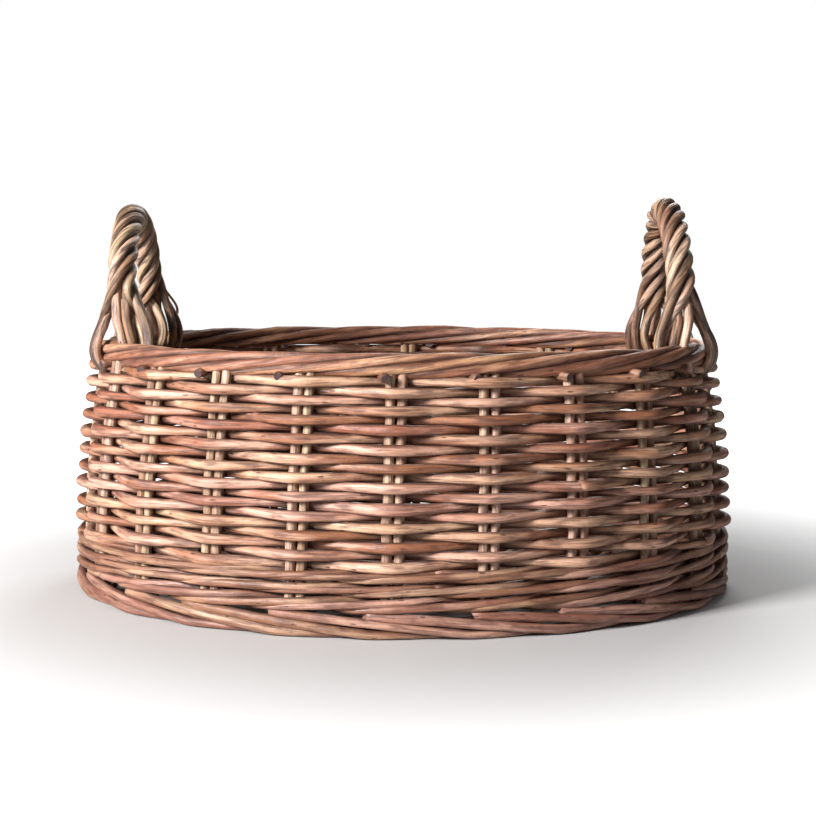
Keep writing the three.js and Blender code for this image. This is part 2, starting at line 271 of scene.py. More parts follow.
def build_piece(name, rods, nodes):
    """One mesh object from a list of rods, put in place of the named nodes of the model, which it
    hides.
    """
    offsets = np.cumsum([0] + [len(rod["points"]) for rod in rods])
    points = np.concatenate([rod["points"] for rod in rods])
    quads = np.concatenate([rod["quads"] + at for rod, at in zip(rods, offsets)])
    caps = np.concatenate([rod["caps"] + at for rod, at in zip(rods, offsets)])
    mesh = bpy.data.meshes.new(name)
    mesh.vertices.add(len(points))
    mesh.vertices.foreach_set("co", points.astype(np.float32).ravel())
    mesh.loops.add(quads.size + caps.size)
    mesh.loops.foreach_set("vertex_index", np.concatenate([quads.ravel(), caps.ravel()]))
    mesh.polygons.add(len(quads) + len(caps))
    starts = np.concatenate([np.arange(len(quads)) * 4, quads.size + np.arange(len(caps)) * 3])
    mesh.polygons.foreach_set("loop_start", starts)
    is_cap = np.repeat([False, True], [len(quads), len(caps)])
    mesh.polygons.foreach_set("use_smooth", ~is_cap)
    mesh.update(calc_edges=True)
    rod_space = np.concatenate([rod["rod_space"] for rod in rods])
    add_attribute(mesh, "rod_space", "FLOAT_VECTOR", "POINT", rod_space)
    add_attribute(mesh, "tone", "FLOAT", "POINT", np.concatenate([rod["tone"] for rod in rods]))
    hollow = np.concatenate([rod["hollow"] for rod in rods])
    add_attribute(mesh, "hollow", "FLOAT", "POINT", hollow)
    add_attribute(mesh, "cut_end", "FLOAT", "FACE", is_cap)
    piece = bpy.data.objects.new(name, mesh)
    bpy.context.scene.collection.objects.link(piece)
    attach(piece, "root")
    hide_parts(*nodes)
    return piece


pieces = {"stakes": [], "weavers": [], "bands": [], "rim": [], "handles": [], "base": []}

# %% [markdown]
# ## Stakes
#
# The uprights stand in pairs. Each rod is swept up the wall, from inside the foot border to
# inside the rim. An Array modifier could copy one pair round the oval, but the copies would
# all be alike. Weaving pushes stakes about a little, so a loop sweeps each one on its own: it
# sways by a fraction of a millimetre, and the two rods of a pair never match exactly.

# %% Stakes
STAKE_FOOT = 0.007
PAIR_HALF = 0.0048  # from the middle of a pair to the middle of each rod
STAKE_STEP = 0.0045
STAKE_SWAY = 0.0004  # along the wall
STAKE_BULGE = 0.0003  # in and out
STAKE_TAPER = 0.1
LEAN = 0.0065  # how far a pair leans along the wall between the foot and the rim
INTO_RIM = 0.9  # how deep the stakes run into the border, as a part of its radius

stake_top = wall_top - rim_radius * INTO_RIM
heights = np.arange(STAKE_FOOT, stake_top, STAKE_STEP)
for pair in range(PAIRS):
    rods = []
    lean = LEAN * rng.uniform(0.3, 1.5)
    for hand in (-1, 1):
        sway = STAKE_SWAY * smooth_noise(heights, 0.05) + lean * (heights / wall_top - 0.5)
        spaces = pair + (hand * PAIR_HALF + sway) / space_length
        path = on_wall(spaces, STAKE_BULGE * smooth_noise(heights, 0.06), heights)
        taper = 1.04 - STAKE_TAPER * heights / wall_top
        thickness = STAKE_RADIUS * rng.uniform(0.94, 1.05) * taper
        outward = on_wall(pair, 0.01, heights) - on_wall(pair, 0.0, heights)
        # A depth of 0.15 is where the painted shade begins, so the stakes get none.
        rods.append(make_rod(path, thickness, outward, hollow=0.15))
    node = f"stake_pair_{pair + 1:02d}"
    pieces["stakes"].append(build_piece(f"stakes_{pair + 1:02d}", rods, [node]))
print(len(pieces["stakes"]), "pairs of stakes")

# %% [markdown]
# ## Side weaving
#
# One rod goes outside a pair, inside the next, and so on, and the row above does the opposite.
# A sine wave would do, but a stiff rod runs nearly straight from one pair to the next and
# bends only where it passes them, so the wave is the arc sine of a cosine. Each row has two
# or three rods, laid in with the thick butt first, and each thins towards its tip. Where rods
# are thick the rows above are lifted, so the heights are found by stacking: each row rests on
# the thicknesses of the rows below it.

# %% Rods of each row
STEPS_PER_SPACE = 16
BUTT_RADIUS = 0.0051
TIP_RADIUS = 0.0042
SQUEEZE = 0.20  # a soaked rod is pinched by this part where it crosses the next row
OVERLAP = 0.45  # spaces that a new butt lies beside the old tip
BUTTS_INSIDE = 0.8  # share of the butts that start on the inside of the wall

grid = np.arange(0, PAIRS, 1 / STEPS_PER_SPACE)


def rods_of_row(row):
    """(start, end, butt radius, tip radius) of each rod, in spaces round the basket."""
    count = int(rng.integers(2, 4))
    starts = np.sort((rng.uniform(0, PAIRS) + np.arange(count) * PAIRS / count) % PAIRS)
    hidden = rng.uniform(size=count) > 1 - BUTTS_INSIDE
    starts = np.round((starts - row - 1) / 2) * 2 + row + 1 + np.where(hidden, 0.0, 1.0)
    starts = starts + rng.uniform(-0.12, 0.12, count)
    ends = np.roll(starts, -1)
    ends[-1] += PAIRS
    butt = BUTT_RADIUS * rng.uniform(0.88, 1.1, count)
    return list(zip(starts, ends + OVERLAP, butt, TIP_RADIUS * rng.uniform(0.92, 1.12, count)))


def radius_along(spaces, rod):
    start, end, butt, tip = rod
    part = np.clip((spaces - start) / (end - start), 0, 1)
    return butt + (tip - butt) * part ** 1.2


def row_thickness(rods):
    """Thickness of a row at every grid place, smoothed where one rod takes over."""
    total = np.zeros(len(grid))
    for rod in rods:
        for lap in (-PAIRS, 0, PAIRS):
            inside = (grid + lap >= rod[0]) & (grid + lap < rod[1] - OVERLAP)
            total[inside] = 2 * radius_along(grid[inside] + lap, rod)
    window = np.hanning(2 * STEPS_PER_SPACE + 1)
    padded = np.concatenate([total[-STEPS_PER_SPACE:], total, total[:STEPS_PER_SPACE]])
    return np.convolve(padded, window / window.sum(), "valid")


UNDER_RIM = 0.0006  # the top row is pressed this far up into the border

row_rods = [rods_of_row(row) for row in range(ROWS)]
thickness = np.array([row_thickness(rods) for rods in row_rods])
siding_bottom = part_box("upsett_wale_upper")[1].z
siding_top = rim_low[2] + UNDER_RIM
stack = np.cumsum(thickness, axis=0) - thickness / 2
row_height = siding_bottom + stack / thickness.sum(axis=0) * (siding_top - siding_bottom)
print("row pitch", np.round(np.diff(row_height.mean(axis=1)).mean() * 1000, 2), "mm")

# %% Weave the rows
PRESS = 0.0002  # clearance where a rod lies against the stakes
BEND = 0.95  # nearer 1, a rod runs straighter and bends more sharply at the stakes
ROW_WANDER = 0.0005
ROD_SHIFT = 0.0003
INSIDE_DEPTH = 0.8  # how strongly a rod is darkened where it passes inside a pair: painted shade, with some real dark wash


def weave_path(row, spaces, radius):
    """Centre line of one row's rod, and its swing: 1 outside a pair, -1 inside it."""
    swing = np.arcsin(BEND * np.cos(np.pi * (spaces + row))) / np.arcsin(BEND)
    out = swing * (STAKE_RADIUS + radius + PRESS)
    z = np.interp(spaces, grid, row_height[row], period=PAIRS)
    z = z + ROW_WANDER * smooth_noise(spaces, 5.0) + rng.uniform(-ROD_SHIFT, ROD_SHIFT)
    return on_wall(spaces, out, z), swing


for row in range(ROWS):
    rods = []
    for rod in row_rods[row]:
        spaces = np.arange(rod[0], rod[1], 1 / STEPS_PER_SPACE)
        radius = radius_along(spaces, rod)
        path, swing = weave_path(row, spaces, radius)
        radius = radius * (1 - SQUEEZE * (1 - np.abs(swing)))
        # Painted shade, with some real dark wash, where the rod passes inside a pair.
        hollow = np.clip(-INSIDE_DEPTH * swing, 0, 1)
        rods.append(make_rod(path, radius, hollow=hollow, crevice_stain_and_shade=0.9))
    node = f"side_weaver_{row + 1:02d}"
    piece = build_piece(f"side_row_{row + 1:02d}", rods, [node])
    pieces["weavers"].append(piece)
print(sum(len(rods) for rods in row_rods), "weavers in", ROWS, "rows")

# %% [markdown]
# ## The upsett
#
# Below the side weaving, two bands of waling hold the stakes upright: one round, then two more.
# In a three-rod wale each rod passes outside two pairs and inside the third, and the rods follow
# each other one space apart. On the outside each stroke climbs over the one before it. With 22
# pairs, going once round brings a rod to where the next one began, so a single closed line that
# goes three times round the basket makes one round of waling. That is longer than a willow rod,
# so the line is cut into five rods, and each laps the next a little. A twisted band would be
# quicker, but then no stake would show between the strokes.

# %% Waling
WALE_STROKES = 3  # pairs to a stroke: outside two, inside the third
STROKE_CLIMB = [(0, 0.0), (0.5, -1.0), (2.5, 1.0), (3, 0.0)]  # (place in a stroke, height)
STROKE_MARGIN = 0.8  # in radii, from the edge of a round to the middle of a rod
WALE_RADIUS = 0.0032
WALE_TAPER = 0.26
WALE_WANDER = 0.0006
WALE_LAP = 0.6  # spaces that one rod lies beside the next
RODS_PER_WALE = 5
WALES = {"upsett_wale_lower": 1, "upsett_wale_upper": 2}  # rounds of waling in each node
BELOW_BAND = 0.001  # the rounds reach this far below the node's box,
ABOVE_BAND = 0.0015  # and this far above it, so that the bands close up


def wale_rods(bottom, top):
    """Rods of one round of waling; each thins from butt to tip, and laps the next a little."""
    total = WALE_STROKES * PAIRS
    rise = (top - bottom) / 2 - WALE_RADIUS * STROKE_MARGIN
    cuts = (rng.uniform(0, 0.8, RODS_PER_WALE) + np.arange(RODS_PER_WALE)) * total / RODS_PER_WALE
    rods = []
    for start, end in zip(cuts, np.append(cuts[1:], cuts[0] + total)):
        spaces = np.arange(start, end + WALE_LAP, 1 / STEPS_PER_SPACE)
        part = (spaces - start) / (end - start)
        thick = WALE_RADIUS * rng.uniform(0.94, 1.06) * (1.14 - WALE_TAPER * part)
        phase = np.mod(spaces, WALE_STROKES)  # outside pairs 1 and 2, inside pair 0
        inside = np.cos(np.pi * np.clip(np.minimum(phase, WALE_STROKES - phase), 0, 1))
        out = -inside * (STAKE_RADIUS + thick + PRESS)
        climb = np.interp(phase, *zip(*STROKE_CLIMB))
        z = (bottom + top) / 2 + rise * climb + WALE_WANDER * smooth_noise(spaces, 5.0)
        # Painted shade, with some real dark wash, where the rod passes inside a pair.
        hollow = np.clip(inside, 0, 1)
        rods.append(make_rod(on_wall(spaces, out, z), thick, hollow=hollow, crevice_stain_and_shade=0.85))
    return rods


for name, rounds in WALES.items():
    low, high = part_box(name)
    levels = np.linspace(low.z - BELOW_BAND, high.z + ABOVE_BAND, rounds + 1)
    rods = [rod for bottom, top in zip(levels, levels[1:]) for rod in wale_rods(bottom, top)]
    piece_name = name.replace("wale", "rods")
    pieces["bands"].append(build_piece(piece_name, rods, [name]))
print(sum(WALES.values()), "rounds of waling")

# %% [markdown]
# ## The foot border
#
# The basket stands on a low border. One rod starts beside each pair of stakes with a cut butt
# end showing, slants down along the outside over the next two, and turns in underneath. A
# plain rope would be quicker, but the slanting strokes and cut ends are what mark this border,
# so every rod follows a profile of a few corners, which are then softened.

# %% Foot border
FOOT_RADIUS = 0.0041
FOOT_TAPER = 0.06  # part of the radius lost in each space
FOOT_RUN = 4.4  # spaces from a rod's butt to its tip
FOOT_STEPS = 14  # path points in a space
BUTT_BEFORE = 0.25  # a butt shows this many spaces before its pair
LOWEST = 1.13  # the lowest that a rod's middle lies, in radii, so that its buds clear the floor
TURNS_IN = 2.4  # spaces after which a rod goes underneath, where it gets painted shade
ROUNDING = 6  # path points on each side that soften a corner of the profile
# The profile of one rod: (spaces from the butt, height) and (spaces from the butt, out).
FOOT_HEIGHTS = [(0, 0.0190), (0.7, 0.0160), (1.6, 0.0085), (2.5, 0.0), (3.3, 0.0045),
                (FOOT_RUN, 0.0165)]
FOOT_OUTS = [(0, 0.0045), (0.5, 0.0068), (1.2, 0.0080), (2.2, 0.0070), (2.8, 0.0),
             (3.3, -0.0058), (FOOT_RUN, -0.0070)]


def rounded_profile(step, corners):
    """Values along a rod from a few corners, with the corners softened."""
    values = np.interp(step, *zip(*corners))
    window = np.hanning(2 * ROUNDING + 1)
    return np.convolve(np.pad(values, ROUNDING, "edge"), window / window.sum(), "valid")


rods = []
for pair in range(PAIRS):
    start = pair - BUTT_BEFORE + rng.uniform(-0.08, 0.08)
    step = np.linspace(0, FOOT_RUN, int(FOOT_RUN * FOOT_STEPS))
    radius = FOOT_RADIUS * rng.uniform(0.92, 1.08) * (1.05 - FOOT_TAPER * step)
    z = np.maximum(rounded_profile(step, FOOT_HEIGHTS), radius * LOWEST)
    path = on_wall(start + step, rounded_profile(step, FOOT_OUTS), z)
    # Painted shade from where the rod turns in under the basket.
    hollow = np.clip(step - TURNS_IN, 0, 1)
    rods.append(make_rod(path, radius, hollow=hollow, crevice_stain_and_shade=0.8, slant=0.5))
pieces["bands"].append(build_piece("foot_border_rods", rods, ["foot_border"]))
print(len(rods), "rods in the foot border")

# %% [markdown]
# ## The rim border
#
# At the top the stakes are bent over and rolled into a rope. Each strand starts low on the
# outside, climbs over the top, and goes down the inside and under, over five spaces in all, so
# at any place five strands lie side by side. Its end comes out below and is trimmed: a short
# stub with a dark cut end, one for each pair. A Screw modifier can twist a straight rope, which
# then has to be bent. A helix in wall coordinates follows the oval at once.

# %% Rim border
STRANDS = 5
RIM_RUN = 5.15  # spaces from a strand's start to its end
RIM_STEPS = 16  # path points in a space
RIM_START = -100  # degrees round the rope, where 0 is straight out and 90 is the top
STRAND_SHARE = 0.40  # a strand's radius, as a part of the rope's
STRAND_WOBBLE = 0.0004
STRAND_TAPER = 0.03  # part of the radius lost in each space
STUB_RADIUS = 0.0040
STUB_START = -0.006  # how far inside the wall's line a trimmed end starts
STUB_POINTS = 8
STUB_DRIFT = 3  # spaces that a trimmed end goes along the wall for each metre that it comes out
STUB_DROP = 0.06  # metres that it goes down for each metre that it comes out
STUB_RISE = 0.0012  # its height above the lowest point of the border
strand_radius = rim_radius * STRAND_SHARE
rope_radius = rim_radius - strand_radius


def trimmed_end(pair):
    """The stub of a strand, under the rope and a little before its pair."""
    at = pair - rng.uniform(0.12, 0.36)
    reach = np.linspace(STUB_START, rng.uniform(0.0110, 0.0140), STUB_POINTS)
    z = rim_low[2] + STUB_RISE - STUB_DROP * reach
    path = on_wall(at + reach * STUB_DRIFT, reach, z)
    # The stub's sides are darkened all over: painted shade, as in the shadow under the rope.
    return make_rod(path, STUB_RADIUS, slant=0.2, hollow=0.7)


rods = []
for pair in range(PAIRS):
    start = pair + rng.uniform(-0.12, 0.12)
    step = np.linspace(0, RIM_RUN, int(RIM_RUN * RIM_STEPS))
    angle = np.radians(RIM_START + 360 / STRANDS * step)
    reach = rope_radius + STRAND_WOBBLE * smooth_noise(step, 3.0)
    out = RIM_OUT + reach * np.cos(angle)
    z = rim_middle + reach * np.sin(angle)
    radius = strand_radius * rng.uniform(0.96, 1.12) * (1.06 - STRAND_TAPER * step)
    outward = on_wall(start + step, 1.0, z) - on_wall(start + step, 0.0, z)
    side = -np.sin(angle)[:, None] * outward + np.cos(angle)[:, None] * np.array([0.0, 0.0, 1.0])
    # Painted shade on the inner half of the rope.
    inner_shade = 0.5 * np.clip(-np.cos(angle), 0, 1)
    rods.append(make_rod(on_wall(start + step, out, z), radius, side, hollow=inner_shade, crevice_stain_and_shade=0.85))
    rods.append(trimmed_end(pair))
pieces["rim"].append(build_piece("rim_border_rods", rods, ["rim_border"]))
print(PAIRS, "strands and", PAIRS, "trimmed ends in the rim border")

# %% [markdown]
# ## Handles
#
# A handle starts as two stout rods bent into a hoop, side by side, with their ends pushed down
# through the border. Other rods are then twisted round them like a rope. Above the border the
# rope opens out: some rods pass outside the border and some inside, and they tuck in under it.
# The middle line of a hoop is half an ellipse, which is round at the top and steep at the
# feet. The left handle leans out from its feet, and the right one leans in. A Bezier curve
# would do for the bow alone, but the roping needs to know which way is across at every point,
# so the line is kept as points with a frame.

# %% Hoops
BOW_RADIUS = 0.0043  # of each of the two rods at the feet, where they stand side by side
BOW_HALF = 1.02 * BOW_RADIUS  # from the hoop's middle line to each rod at the feet
CORE_RADIUS = 0.0030  # of each rod inside the rope
CORE_HALF = 0.0018  # inside the rope the two rods are pressed together
FAN_HEIGHT = 0.044  # the rope opens out this far above the border
TUCK_IN = 0.007  # the bow's feet lean in by this much, to go down behind the border
EASE_ABOVE = 0.02  # a change along a bow starts this far above its level,
EASE_HEIGHT = 0.03  # and takes this much height
BOW_WANDER = 0.0003
HOOP_STEPS = 420
BOW_SKIP = 3  # a bow rod uses every third point of the hoop
LEANS_OUT = {"left_handle": True, "right_handle": False}


def hoop_of(name, leans_out):
    """The middle line of a handle, front foot to back foot, and the frame along it."""
    low, high = (np.array(corner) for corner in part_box(f"{name}_bow"))
    side = 1 if high[0] > 0 else -1
    near, far = np.sort(np.abs([low[0], high[0]])) + 2 * BOW_RADIUS * np.array([1, -1])
    foot, top = (near, far) if leans_out else (far, near)
    angle = np.linspace(0, np.pi, HOOP_STEPS)
    arch = np.sin(angle)
    x = side * (foot + (top - foot) * arch)
    foot_y = (high[1] - low[1]) / 2 - BOW_RADIUS
    z = low[2] + (high[2] - BOW_RADIUS - low[2]) * arch
    line = np.stack([x, -foot_y * np.cos(angle), z], -1)
    ahead = unit(np.gradient(line, axis=0))
    across = unit(np.array([1.0, 0.0, 0.0]) - ahead * ahead[:, :1])
    length = np.cumsum(np.linalg.norm(np.diff(line, axis=0, prepend=line[:1]), axis=1))
    return {"side": side, "line": line, "across": across, "up": np.cross(ahead, across),
            "length": length}


def eased_below(z, level):
    """0 well above a level and 1 below it, changing evenly in between."""
    return np.clip((level + EASE_ABOVE - z) / EASE_HEIGHT, 0, 1)


hoops = {name: hoop_of(name, leans_out) for name, leans_out in LEANS_OUT.items()}
for name, hoop in hoops.items():
    bow = []
    open_part = eased_below(hoop["line"][:, 2], wall_top + FAN_HEIGHT)
    foot_part = eased_below(hoop["line"][:, 2], wall_top)
    apart = CORE_HALF + (BOW_HALF - CORE_HALF) * open_part
    radius = CORE_RADIUS + (BOW_RADIUS - CORE_RADIUS) * open_part
    for hand in (-1, 1):
        offset = hand * apart + BOW_WANDER * smooth_noise(hoop["length"], 0.12)
        path = hoop["line"] + hoop["across"] * offset[:, None]
        path[:, 0] -= hoop["side"] * TUCK_IN * foot_part
        thick = radius[::BOW_SKIP] * rng.uniform(0.96, 1.05)
        bow.append(make_rod(path[::BOW_SKIP], thick, hoop["across"][::BOW_SKIP], crevice_stain_and_shade=0.6))
    node = f"{name}_bow"
    pieces["handles"].append(build_piece(f"{name}_bow_rods", bow, [node]))
    print(name, "is", round(hoop["length"][-1] * 1000), "mm along the hoop")

# %% [markdown]
# ## Roping
#
# Five rods are twisted round each bow, all the same way, so they lie like the strands of a
# rope. A helix needs a frame that doesn't spin: `across` and `up` stay fixed to the hoop, and
# the strands turn in them. At each foot the strands leave the rope. The two that are heading
# farthest out and towards the end of the oval pass outside the border, and the others inside.
# The joined path is resampled evenly and averaged over a short stretch, which bends it the way
# a stiff rod bends.

# %% Bend a path like a stiff rod
PATH_STEP = 0.0025
SMOOTH_STEPS = 17  # path points averaged together


def springy(points):
    """An evenly sampled, smoothed path through points."""
    points = np.asarray(points)
    length = np.concatenate([[0], np.cumsum(np.linalg.norm(np.diff(points, axis=0), axis=1))])
    even = np.arange(0, length[-1], PATH_STEP)
    path = np.stack([np.interp(even, length, points[:, axis]) for axis in range(3)], -1)
    window = np.hanning(SMOOTH_STEPS + 2)[1:-1]
    half = SMOOTH_STEPS // 2
    before = 2 * path[0] - path[half:0:-1]
    after = 2 * path[-1] - path[-2:-half - 2:-1]
    padded = np.concatenate([before, path, after])
    columns = [np.convolve(padded[:, axis], window / window.sum(), "valid") for axis in range(3)]
    return np.stack(columns, -1)


print("a bend is softened over", round(PATH_STEP * SMOOTH_STEPS * 1000), "mm")

# %% Feet of the roping
TUCK_DEPTH = 0.007  # a rod's end goes in this far below the border
HEADING = 0.025  # how far ahead of the rope a strand's heading is read
OUTER_LAPS = (0.047, 0.037)  # how far from the leg strands pass outside the border
INNER_LAPS = (0.012, -0.006, -0.018)  # and inside it


def wall_place(point):
    """Spaces round the wall of the place nearest to a point."""
    spaces = np.arange(0, PAIRS, 0.02)
    places = on_wall(spaces, RIM_OUT, rim_middle)
    return spaces[np.argmin(np.linalg.norm(places[:, :2] - np.asarray(point)[None, :2], axis=1))]


def lap_points(leg, along, out_sign, radius):
    """Points of one strand's end, from above the border, past it and in underneath."""
    reach = rim_radius + radius * 0.9
    places = [  # (part of the way along, distance out or in, height)
        (0.9, 1.0 * reach, rim_middle + 1.3 * reach),
        (1.0, 1.25 * reach, rim_middle + 0.6 * reach),
        (1.0, 1.1 * reach, rim_middle - 0.35 * reach),
        (1.05, 0.72 * reach, rim_low[2] - 0.3 * TUCK_DEPTH),
        (1.1, 0.10 * reach, rim_low[2] - TUCK_DEPTH),
    ]
    return [on_wall(leg + along * part / space_length, RIM_OUT + out_sign * out, z)
            for part, out, z in places]


def heading_point(helix, end):
    """Where a strand would be a little farther on if it left the rope in a straight line."""
    before = helix[2] if end == 0 else helix[-3]
    return helix[end] + HEADING * unit(helix[end] - before)


def foot_ends(hoop, helixes, end, radius):
    """The lap of each strand at one foot (end 0 is the front one, -1 the back one)."""
    foot = hoop["line"][end]
    leg = wall_place(foot)
    to_end = hoop["side"] * (1 if end == 0 else -1)
    outward = on_wall(leg, 1.0, rim_middle) - on_wall(leg, 0.0, rim_middle)
    endward = unit(on_wall(leg + 0.3 * to_end, 0.0, rim_middle) - on_wall(leg, 0.0, rim_middle))
    order = np.argsort([-(heading_point(helix, end) - foot) @ (outward + endward)
                        for helix in helixes])
    lap_places = [(along, 1) for along in OUTER_LAPS] + [(along, -1) for along in INNER_LAPS]
    return {number: lap_points(leg, to_end * along, out_sign, radius)
            for number, (along, out_sign) in zip(order, lap_places)}


print(len(OUTER_LAPS), "strands pass outside the border at a foot,", len(INNER_LAPS), "inside")

# %% Twist the strands
ROPE_STRANDS = 5
ROPE_LEAD = 0.094  # length of hoop for one turn of the rope
ROPE_RADIUS = 0.0126  # outside of the rope
ROPING_RADIUS = {"left_handle": 0.0045, "right_handle": 0.0044}
SMOOTH_LOSS = 0.87  # averaging shrinks the helix to this part of its radius
ROPE_WOBBLE = 0.05  # slow changes of the helix's radius, as a part of it


def rope_strand(hoop, number, radius):
    """Centre line of one strand: up from the front foot, round the bow, down to the back."""
    line, length = hoop["line"], hoop["length"]
    above = np.flatnonzero(line[:, 2] > wall_top + FAN_HEIGHT)[::2]
    turn = 2 * np.pi * (length[above] / ROPE_LEAD + number / ROPE_STRANDS)
    wobble = 1 + ROPE_WOBBLE * smooth_noise(length[above], 0.05)
    reach = (ROPE_RADIUS - radius) / SMOOTH_LOSS * wobble
    return (line[above] + hoop["across"][above] * (reach * np.cos(turn))[:, None]
            + hoop["up"][above] * (reach * np.sin(turn))[:, None])


for name, hoop in hoops.items():
    radius = ROPING_RADIUS[name]
    helixes = [rope_strand(hoop, number, radius) for number in range(ROPE_STRANDS)]
    front = foot_ends(hoop, helixes, 0, radius)
    back = foot_ends(hoop, helixes, -1, radius)
    rods = []
    for number, helix in enumerate(helixes):
        path = springy([*front[number][::-1], *helix, *back[number]])
        nearest = np.argmin(np.linalg.norm(path[:, None] - hoop["line"][None], axis=2), axis=1)
        side = np.cross(path - hoop["line"][nearest], np.gradient(path, axis=0))
        thick = radius * rng.uniform(0.92, 1.08) * np.linspace(1.05, 0.93, len(path))
        rods.append(make_rod(path, thick, side, crevice_stain_and_shade=0.8))
    node = f"{name}_roping"
    pieces["handles"].append(build_piece(f"{name}_rope_rods", rods, [node]))
print(ROPE_STRANDS, "strands twisted round each bow")

# %% [markdown]
# ## A curled twig
#
# One thin tip at the left handle's back foot has sprung out of the roping. A loop or a helix
# could draw it, but a stray tip follows no rule, so its few points are listed one by one and then
# smoothed in the same way as the roping.

# %% Curled twig
TWIG_RADIUS = 0.0013
twig = np.array([(-0.238, 0.096, 0.272), (-0.233, 0.099, 0.262), (-0.226, 0.101, 0.256),
                 (-0.2215, 0.102, 0.249), (-0.223, 0.102, 0.242), (-0.229, 0.101, 0.236)])
rod = make_rod(springy(twig), TWIG_RADIUS, (1.0, 0.0, 0.0), sides=8)
pieces["handles"].append(build_piece("curled_twig", [rod], ["left_handle_roping"]))
twig_length = np.linalg.norm(np.diff(twig, axis=0), axis=1).sum()
print("twig", round(twig_length * 1000), "mm long")

# %% [markdown]
# ## The base
#
# An oval base starts from stout sticks laid across the basket, with three thinner ones pushed
# through them lengthwise. Rods are then woven round and round this cross, over one stick and
# under the next, in ovals that grow until they meet the wall. A flat plate with a bump would
# pass from the side, but not from above. Each round here is an ellipse, and the places where it
# meets the sticks say where it has to be high or low.

# %% Base sticks
STICK_STEP = 0.006
STICK_SWAY = 0.0006
base_low, base_high = (np.array(corner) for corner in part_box("base_weave"))
base_middle = (base_low[2] + base_high[2]) / 2

cross_at = []
for name in sorted(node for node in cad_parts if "_stick_" in node):
    low, high = (np.array(corner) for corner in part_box(name))
    middle, half = (low + high) / 2, (high - low) / 2
    axis = int(np.argmax(half))
    reach = np.arange(-half[axis], half[axis], STICK_STEP)
    path = np.tile(middle, (len(reach), 1))
    path[:, axis] += reach
    path[:, 1 - axis] += STICK_SWAY * smooth_noise(reach, 0.15)
    # A very faint painted shade.
    rod = make_rod(path, half[2] * 0.97, hollow=0.2)
    piece_name = name.replace("stick", "rod")
    pieces["base"].append(build_piece(piece_name, [rod], [name]))
    if axis == 1:
        cross_at.append(middle[0])
print(len(cross_at), "cross sticks at", np.round(np.array(cross_at) * 1000), "mm")

# %% Base weave
BASE_ROD_RADIUS = 0.0031
BASE_STEPS = 240
BASE_SWING = 0.0041  # how far a rod goes over and under the sticks
INNER_GAP = 0.018  # from the middle line to the first round
CROSSED = 0.985  # sticks farther out than this part of a round's half length aren't crossed

base_half = (base_high[:2] - base_low[:2]) / 2
rounds = int((base_half[1] - INNER_GAP) / (2 * BASE_ROD_RADIUS))
rods = []
for number in range(rounds):
    shrink = (base_half[1] - BASE_ROD_RADIUS - INNER_GAP) * (1 - number / (rounds - 1))
    half_x, half_y = base_half - BASE_ROD_RADIUS - shrink
    angle = np.linspace(0, 2 * np.pi, BASE_STEPS)
    meets = [math.pi / 2, math.pi * 1.5]
    for at in cross_at:
        if abs(at) < half_x * CROSSED:
            meets += [math.asin(at / half_x) % (2 * np.pi), math.pi - math.asin(at / half_x)]
    meets = np.sort(np.array(meets))
    around_meets = np.concatenate([meets[-1:] - 2 * np.pi, meets, meets[:1] + 2 * np.pi])
    phase = np.interp(angle, around_meets, np.arange(-1, len(meets) + 1))
    height = np.cos(np.pi * (phase + number))
    radius = BASE_ROD_RADIUS * rng.uniform(0.92, 1.05)
    path = np.stack([half_x * np.sin(angle), -half_y * np.cos(angle),
                     base_middle + height * BASE_SWING], -1)
    # Painted shade, strongest midway between sticks, where a round passes from over one to under
    # the next.
    rods.append(make_rod(path, radius, sides=8, hollow=0.25 * (1 - np.abs(height))))
pieces["base"].append(build_piece("base_weave_rods", rods, ["base_weave"]))
print(rounds, "rounds in the base")

# %% [markdown]
# ## Willow, as three node groups
#
# Every piece is the same wood, so the look is made once, in node groups, and each material
# sets its own colours and strengths. `willow skin` is the peeled surface: long fibres, broad
# blotches where the sap stained it, small scars, and a tint that changes from rod to rod. Its
# Place input is `rod_space`, in which every rod is straight, so the fibres bend with the rod.
# The second group darkens a rod where it dips behind its neighbours and along the lines where
# they touch it: painted shade, with some real dark wash that collects there. `cut end` shows the
# wood of a cut, with the darker skin round it and the pith. An image of willow would show seams
# or repeat. Noise in rod space does neither.

# %% Node group helpers
def new_group(name, inputs, outputs):
    """A shader node group with its sockets; returns the tree and its two end nodes."""
    tree = bpy.data.node_groups.new(name, "ShaderNodeTree")
    for label, kind in inputs.items():
        tree.interface.new_socket(label, in_out="INPUT", socket_type=kind)
    for label, kind in outputs.items():
        tree.interface.new_socket(label, in_out="OUTPUT", socket_type=kind)
    return tree, tree.nodes.new("NodeGroupInput"), tree.nodes.new("NodeGroupOutput")


def add_node(tree, kind, settings=None, **sockets):
    """A node with its settings and input values; an output socket given as a value is linked.

    Inputs go by label, or by number, as in i0 for the first one.
    """
    node = tree.nodes.new(f"ShaderNode{kind}")
    for key, value in (settings or {}).items():
        setattr(node, key, value)
    for label, value in sockets.items():
        socket = node.inputs[int(label[1:])] if label[0] == "i" else node.inputs[label]
        if isinstance(value, bpy.types.NodeSocket):
            tree.links.new(value, socket)
        else:
            socket.default_value = value
    return node


def math_node(tree, operation, first, second=0.0, clamp=False):
    settings = {"operation": operation, "use_clamp": clamp}
    return add_node(tree, "Math", settings, i0=first, i1=second).outputs[0]


def spread(tree, value, low, high, to_low=0.0, to_high=1.0):
    """The value stretched smoothly from one range to another."""
    settings = {"interpolation_type": "SMOOTHSTEP"}
    node = add_node(tree, "MapRange", settings, i0=value, i1=low, i2=high, i3=to_low, i4=to_high)
    return node.outputs[0]


